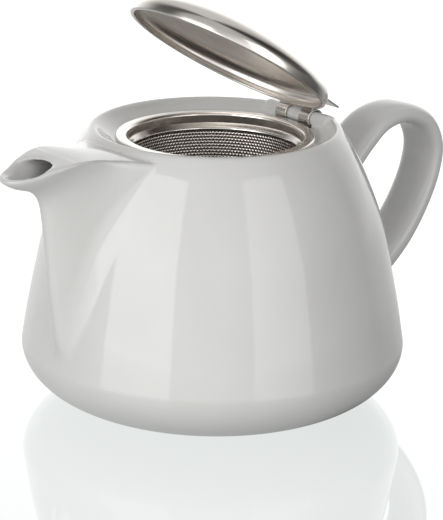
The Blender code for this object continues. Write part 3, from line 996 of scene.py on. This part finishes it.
def ramp(made, source, stops):
    """Colour ramp through (position, colour) stops."""
    node = made.add("ShaderNodeValToRGB")
    band = node.color_ramp
    while len(band.elements) < len(stops):
        band.elements.new(0.5)
    for element, (at, colour) in zip(band.elements, stops):
        element.position = at
        element.color = (*colour, 1.0)
    made.link(source, node.inputs["Fac"])
    return node.outputs["Color"]


def bump(made, height, strength, distance):
    """Bump from a height, into the shader's normal."""
    node = made.add("ShaderNodeBump", Strength=strength, Distance=distance)
    made.link(height, node.inputs["Height"])
    made.link(node.outputs["Normal"], made.shader.inputs["Normal"])
    return node


def glaze_material():
    """White stoneware glaze: even, glossy, faintly uneven in tone."""
    made = Nodes(bpy.data.materials.new("white_glaze"))
    place = made.add("ShaderNodeTexCoord").outputs["Object"]
    tone = noise(made, place, 38.0, 3.0)
    made.link(ramp(made, tone, [(0.3, (0.590, 0.584, 0.570)),
                                (0.7, (0.610, 0.606, 0.594))]),
              made.shader.inputs["Base Color"])
    fine = noise(made, place, 900.0, 2.0)
    made.link(spread(made, fine, 0.055, 0.085),
              made.shader.inputs["Roughness"])
    ripple = noise(made, place, 120.0, 1.0)
    bump(made, ripple, 0.05, 0.00008)
    made.shader.inputs["IOR"].default_value = 1.52
    return made.holder


def steel_material(name, colour, rough, brushed, grain):
    """Stainless steel with fine brushing round the piece's own axis."""
    made = Nodes(bpy.data.materials.new(name))
    place = made.add("ShaderNodeTexCoord").outputs["Object"]
    cloud = noise(made, place, 22.0, 2.0)
    dark = tuple(c * 0.95 for c in colour)
    made.link(ramp(made, cloud, [(0.35, dark), (0.65, colour)]),
              made.shader.inputs["Base Color"])
    split = made.add("ShaderNodeSeparateXYZ")
    made.link(place, split.inputs["Vector"])
    flat = made.add("ShaderNodeVectorMath", operation="MULTIPLY")
    flat.inputs[1].default_value = (1.0, 1.0, 0.0)
    made.link(place, flat.inputs[0])
    radius = made.add("ShaderNodeVectorMath", operation="LENGTH")
    made.link(flat.outputs["Vector"], radius.inputs[0])
    ring = made.add("ShaderNodeCombineXYZ")
    made.link(radius.outputs["Value"], ring.inputs["X"])
    made.link(split.outputs["Z"], ring.inputs["Y"])
    lines = noise(made, ring.outputs["Vector"], 2500.0, 3.0, 0.7)
    made.link(spread(made, lines, rough * 0.85, rough * 1.15),
              made.shader.inputs["Roughness"])
    bump(made, lines, grain, 0.00002)
    tangent = made.add("ShaderNodeTangent", direction_type="RADIAL", axis="Z")
    made.link(tangent.outputs["Tangent"], made.shader.inputs["Tangent"])
    made.shader.inputs["Anisotropic"].default_value = brushed
    made.shader.inputs["Metallic"].default_value = 1.0
    return made.holder


# ======================================================================
#  stage, lights and camera
# ======================================================================
VIEW_TURN = math.radians(39.88)   # from -Y towards -X to the camera
VIEW_RISE = math.radians(17.55)
VIEW_TILT = math.radians(0.94)
VIEW_DISTANCE = 0.9
AIM_UP, AIM_RIGHT = 0.05195, 0.00298
LENS = 165.45
TO_CAMERA = Vector((-math.sin(VIEW_TURN), -math.cos(VIEW_TURN), 0.0))
TO_RIGHT = Vector((math.cos(VIEW_TURN), -math.sin(VIEW_TURN), 0.0))


def make_camera():
    """The viewpoint: in front of the pot and towards the spout."""
    upright = Vector((0.0, 0.0, 1.0))
    back = TO_CAMERA * math.cos(VIEW_RISE) + upright * math.sin(VIEW_RISE)
    right = (-back).cross(upright).normalized()
    up = right.cross(-back)
    c, s = math.cos(VIEW_TILT), math.sin(VIEW_TILT)
    right, up = right * c + up * s, up * c - right * s
    aim = AXIS + upright * AIM_UP + TO_RIGHT * AIM_RIGHT
    spot = aim + back * VIEW_DISTANCE
    lens = bpy.data.cameras.new("camera")
    lens.lens = LENS
    lens.clip_start = 0.01
    camera = bpy.data.objects.new("camera", lens)
    camera.matrix_world = Matrix(((right.x, up.x, back.x, spot.x),
                                  (right.y, up.y, back.y, spot.y),
                                  (right.z, up.z, back.z, spot.z),
                                  (0.0, 0.0, 0.0, 1.0)))
    bpy.context.scene.collection.objects.link(camera)
    bpy.context.scene.camera = camera


# brightness of the studio round the pot, by the angle in degrees to the
# camera's right: white walls behind, dark flags at the sides
SURROUND = [(-180, 1.6), (-150, 1.5), (-128, 0.75), (-112, 0.22),
            (-85, 0.25), (-70, 1.15), (-20, 1.25), (20, 1.25), (55, 1.05),
            (68, 0.45), (85, 0.10), (115, 0.10), (130, 1.0), (150, 1.6),
            (180, 1.6)]
SURROUND_PEAK = 2.0
# painted light: the floor's glow towards the pot, brighter or darker by the angle round
# it, standing in for studio light the floor reflects onto the pot
FLOOR_GLOW = [(-180, 0.50), (-120, 0.42), (-60, 0.48), (0, 0.42), (30, 0.34),
              (55, 0.16), (110, 0.10), (135, 0.25), (165, 0.5), (180, 0.5)]
FLOOR_GLOW_SEEN = 0.74        # the floor's brightness to the camera
FLOOR_DROP = 0.0002           # a hair below the foot, in metres
OVERHEAD = 0.5                # brightness high up, against the horizon's


def grade(made, place, stops, peak):
    """Value by the angle round the pot to the camera's right, over peak."""
    turn = made.add("ShaderNodeMath", operation="ARCTAN2")
    for slot, direction in enumerate((TO_RIGHT, TO_CAMERA)):
        dot = made.add("ShaderNodeVectorMath", operation="DOT_PRODUCT")
        dot.inputs[1].default_value = direction
        made.link(place, dot.inputs[0])
        made.link(dot.outputs["Value"], turn.inputs[slot])
    share = made.add("ShaderNodeMath", operation="MULTIPLY_ADD")
    share.inputs[1].default_value = 0.5 / math.pi
    share.inputs[2].default_value = 0.5
    made.link(turn.outputs["Value"], share.inputs[0])
    return ramp(made, share.outputs["Value"],
                [(angle / 360.0 + 0.5, [level / peak] * 3)
                 for angle, level in stops])


def make_floor():
    """A glowing sheet under the pot: its glow is painted light standing in for the studio
    light a pale floor reflects, so it shows no shadow of the pot; the camera sees it
    evenly bright.
    """
    made = Nodes(bpy.data.materials.new("glowing_floor"))
    made.shader.inputs["Base Color"].default_value = (0.0, 0.0, 0.0, 1.0)
    made.shader.inputs["Roughness"].default_value = 0.03
    made.shader.inputs["IOR"].default_value = 1.9
    made.shader.inputs["Emission Color"].default_value = (0.97, 1.0, 0.995, 1.0)
    place = made.add("ShaderNodeTexCoord").outputs["Object"]
    # painted light: glow by angle round the pot for every ray but the camera's
    glow = grade(made, place, FLOOR_GLOW, 1.0)
    seen = made.add("ShaderNodeLightPath").outputs["Is Camera Ray"]
    level = made.add("ShaderNodeMix")
    level.inputs["B"].default_value = FLOOR_GLOW_SEEN
    made.link(seen, level.inputs["Factor"])
    made.link(glow, level.inputs["A"])
    made.link(level.outputs["Result"],
              made.shader.inputs["Emission Strength"])
    size = 4.0
    mesh = bpy.data.meshes.new("floor")
    mesh.from_pydata([(-size, -size, 0.0), (size, -size, 0.0),
                      (size, size, 0.0), (-size, size, 0.0)], [],
                     [(0, 1, 2, 3)])
    mesh.materials.append(made.holder)
    floor = bpy.data.objects.new("floor", mesh)
    floor.location = AXIS + Vector((0.0, 0.0, CAD_LOW.z - FLOOR_DROP))
    bpy.context.scene.collection.objects.link(floor)


def softbox(name, turn, distance, wide, tall, radiance):
    """An upright studio light that stands on the table, facing the pot."""
    angle = math.radians(turn)
    away = TO_CAMERA * math.cos(angle) + TO_RIGHT * math.sin(angle)
    lamp = bpy.data.lights.new(name, "AREA")
    lamp.shape = "RECTANGLE"
    lamp.size, lamp.size_y = wide, tall
    lamp.energy = radiance * math.pi * wide * tall
    made = bpy.data.objects.new(name, lamp)
    made.location = AXIS + away * distance + Vector((0.0, 0.0, tall / 2))
    made.rotation_mode = "QUATERNION"
    made.rotation_quaternion = away.to_track_quat("Z", "Y")
    bpy.context.scene.collection.objects.link(made)


def make_world():
    """White studio with dark flags at both sides."""
    world = bpy.data.worlds.new("studio")
    made = Nodes(world, "Background")
    place = made.add("ShaderNodeTexCoord").outputs["Generated"]
    band = grade(made, place, SURROUND, SURROUND_PEAK)
    height = made.add("ShaderNodeSeparateXYZ")
    made.link(place, height.inputs["Vector"])
    fade = made.add("ShaderNodeMapRange", interpolation_type="SMOOTHSTEP",
                    From_Min=0.25, From_Max=0.65, To_Min=SURROUND_PEAK,
                    To_Max=SURROUND_PEAK * OVERHEAD)
    made.link(height.outputs["Z"], fade.inputs["Value"])
    level = made.add("ShaderNodeMath", operation="MULTIPLY")
    made.link(band, level.inputs[0])
    made.link(fade.outputs["Result"], level.inputs[1])
    # the camera itself sees plain white behind the pot
    seen = made.add("ShaderNodeLightPath").outputs["Is Camera Ray"]
    most = made.add("ShaderNodeMath", operation="MAXIMUM")
    made.link(level.outputs["Value"], most.inputs[0])
    made.link(seen, most.inputs[1])
    made.shader.inputs["Color"].default_value = (1.0, 1.0, 1.0, 1.0)
    made.link(most.outputs["Value"], made.shader.inputs["Strength"])
    bpy.context.scene.world = world


def main():
    """Stage, materials, and every visible piece on its body."""
    bpy.context.scene.view_settings.view_transform = "Standard"
    make_camera()
    make_world()
    make_floor()
    softbox("left_softbox", -44.0, 1.1, 0.84, 1.0, 2.1)
    softbox("right_softbox", 42.0, 1.1, 0.70, 1.0, 1.25)

    glaze = glaze_material()
    polished = steel_material("polished_steel", (0.68, 0.65, 0.61),
                              0.17, 0.2, 0.02)
    satin = steel_material("satin_steel", (0.70, 0.66, 0.62), 0.26, 0.7, 0.08)
    sheet = steel_material("perforated_steel", (0.72, 0.66, 0.61),
                           0.26, 0.0, 0.05)

    pieces = [
        (make_glazed_pot(glaze), "pot", "glaze",
         ("pot_body", "spout", "handle", "hinge_bar")),
        (make_lid(polished, satin), "lid", "polished_steel", ("lid_dome",)),
        (make_bracket(satin), "lid", "satin_steel", ("hinge_bracket",)),
        (make_flange(polished), "basket", "polished_steel",
         ("basket_flange",)),
        (make_retaining_ring(polished), "basket", "polished_steel",
         ("mesh_retaining_ring",)),
        (make_basket_wall(sheet), "basket", "perforated_steel",
         ("basket_wall",)),
        (make_seam(satin), "basket", "satin_steel", ("basket_seam_strip",)),
        (make_hoop(satin), "basket", "satin_steel", ("basket_bottom_hoop",)),
        (make_basket_bottom(sheet), "basket", "perforated_steel",
         ("basket_bottom",)),
    ]
    for piece, body, slot, nodes in pieces:
        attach(piece, body)
        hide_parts(*nodes)


main()
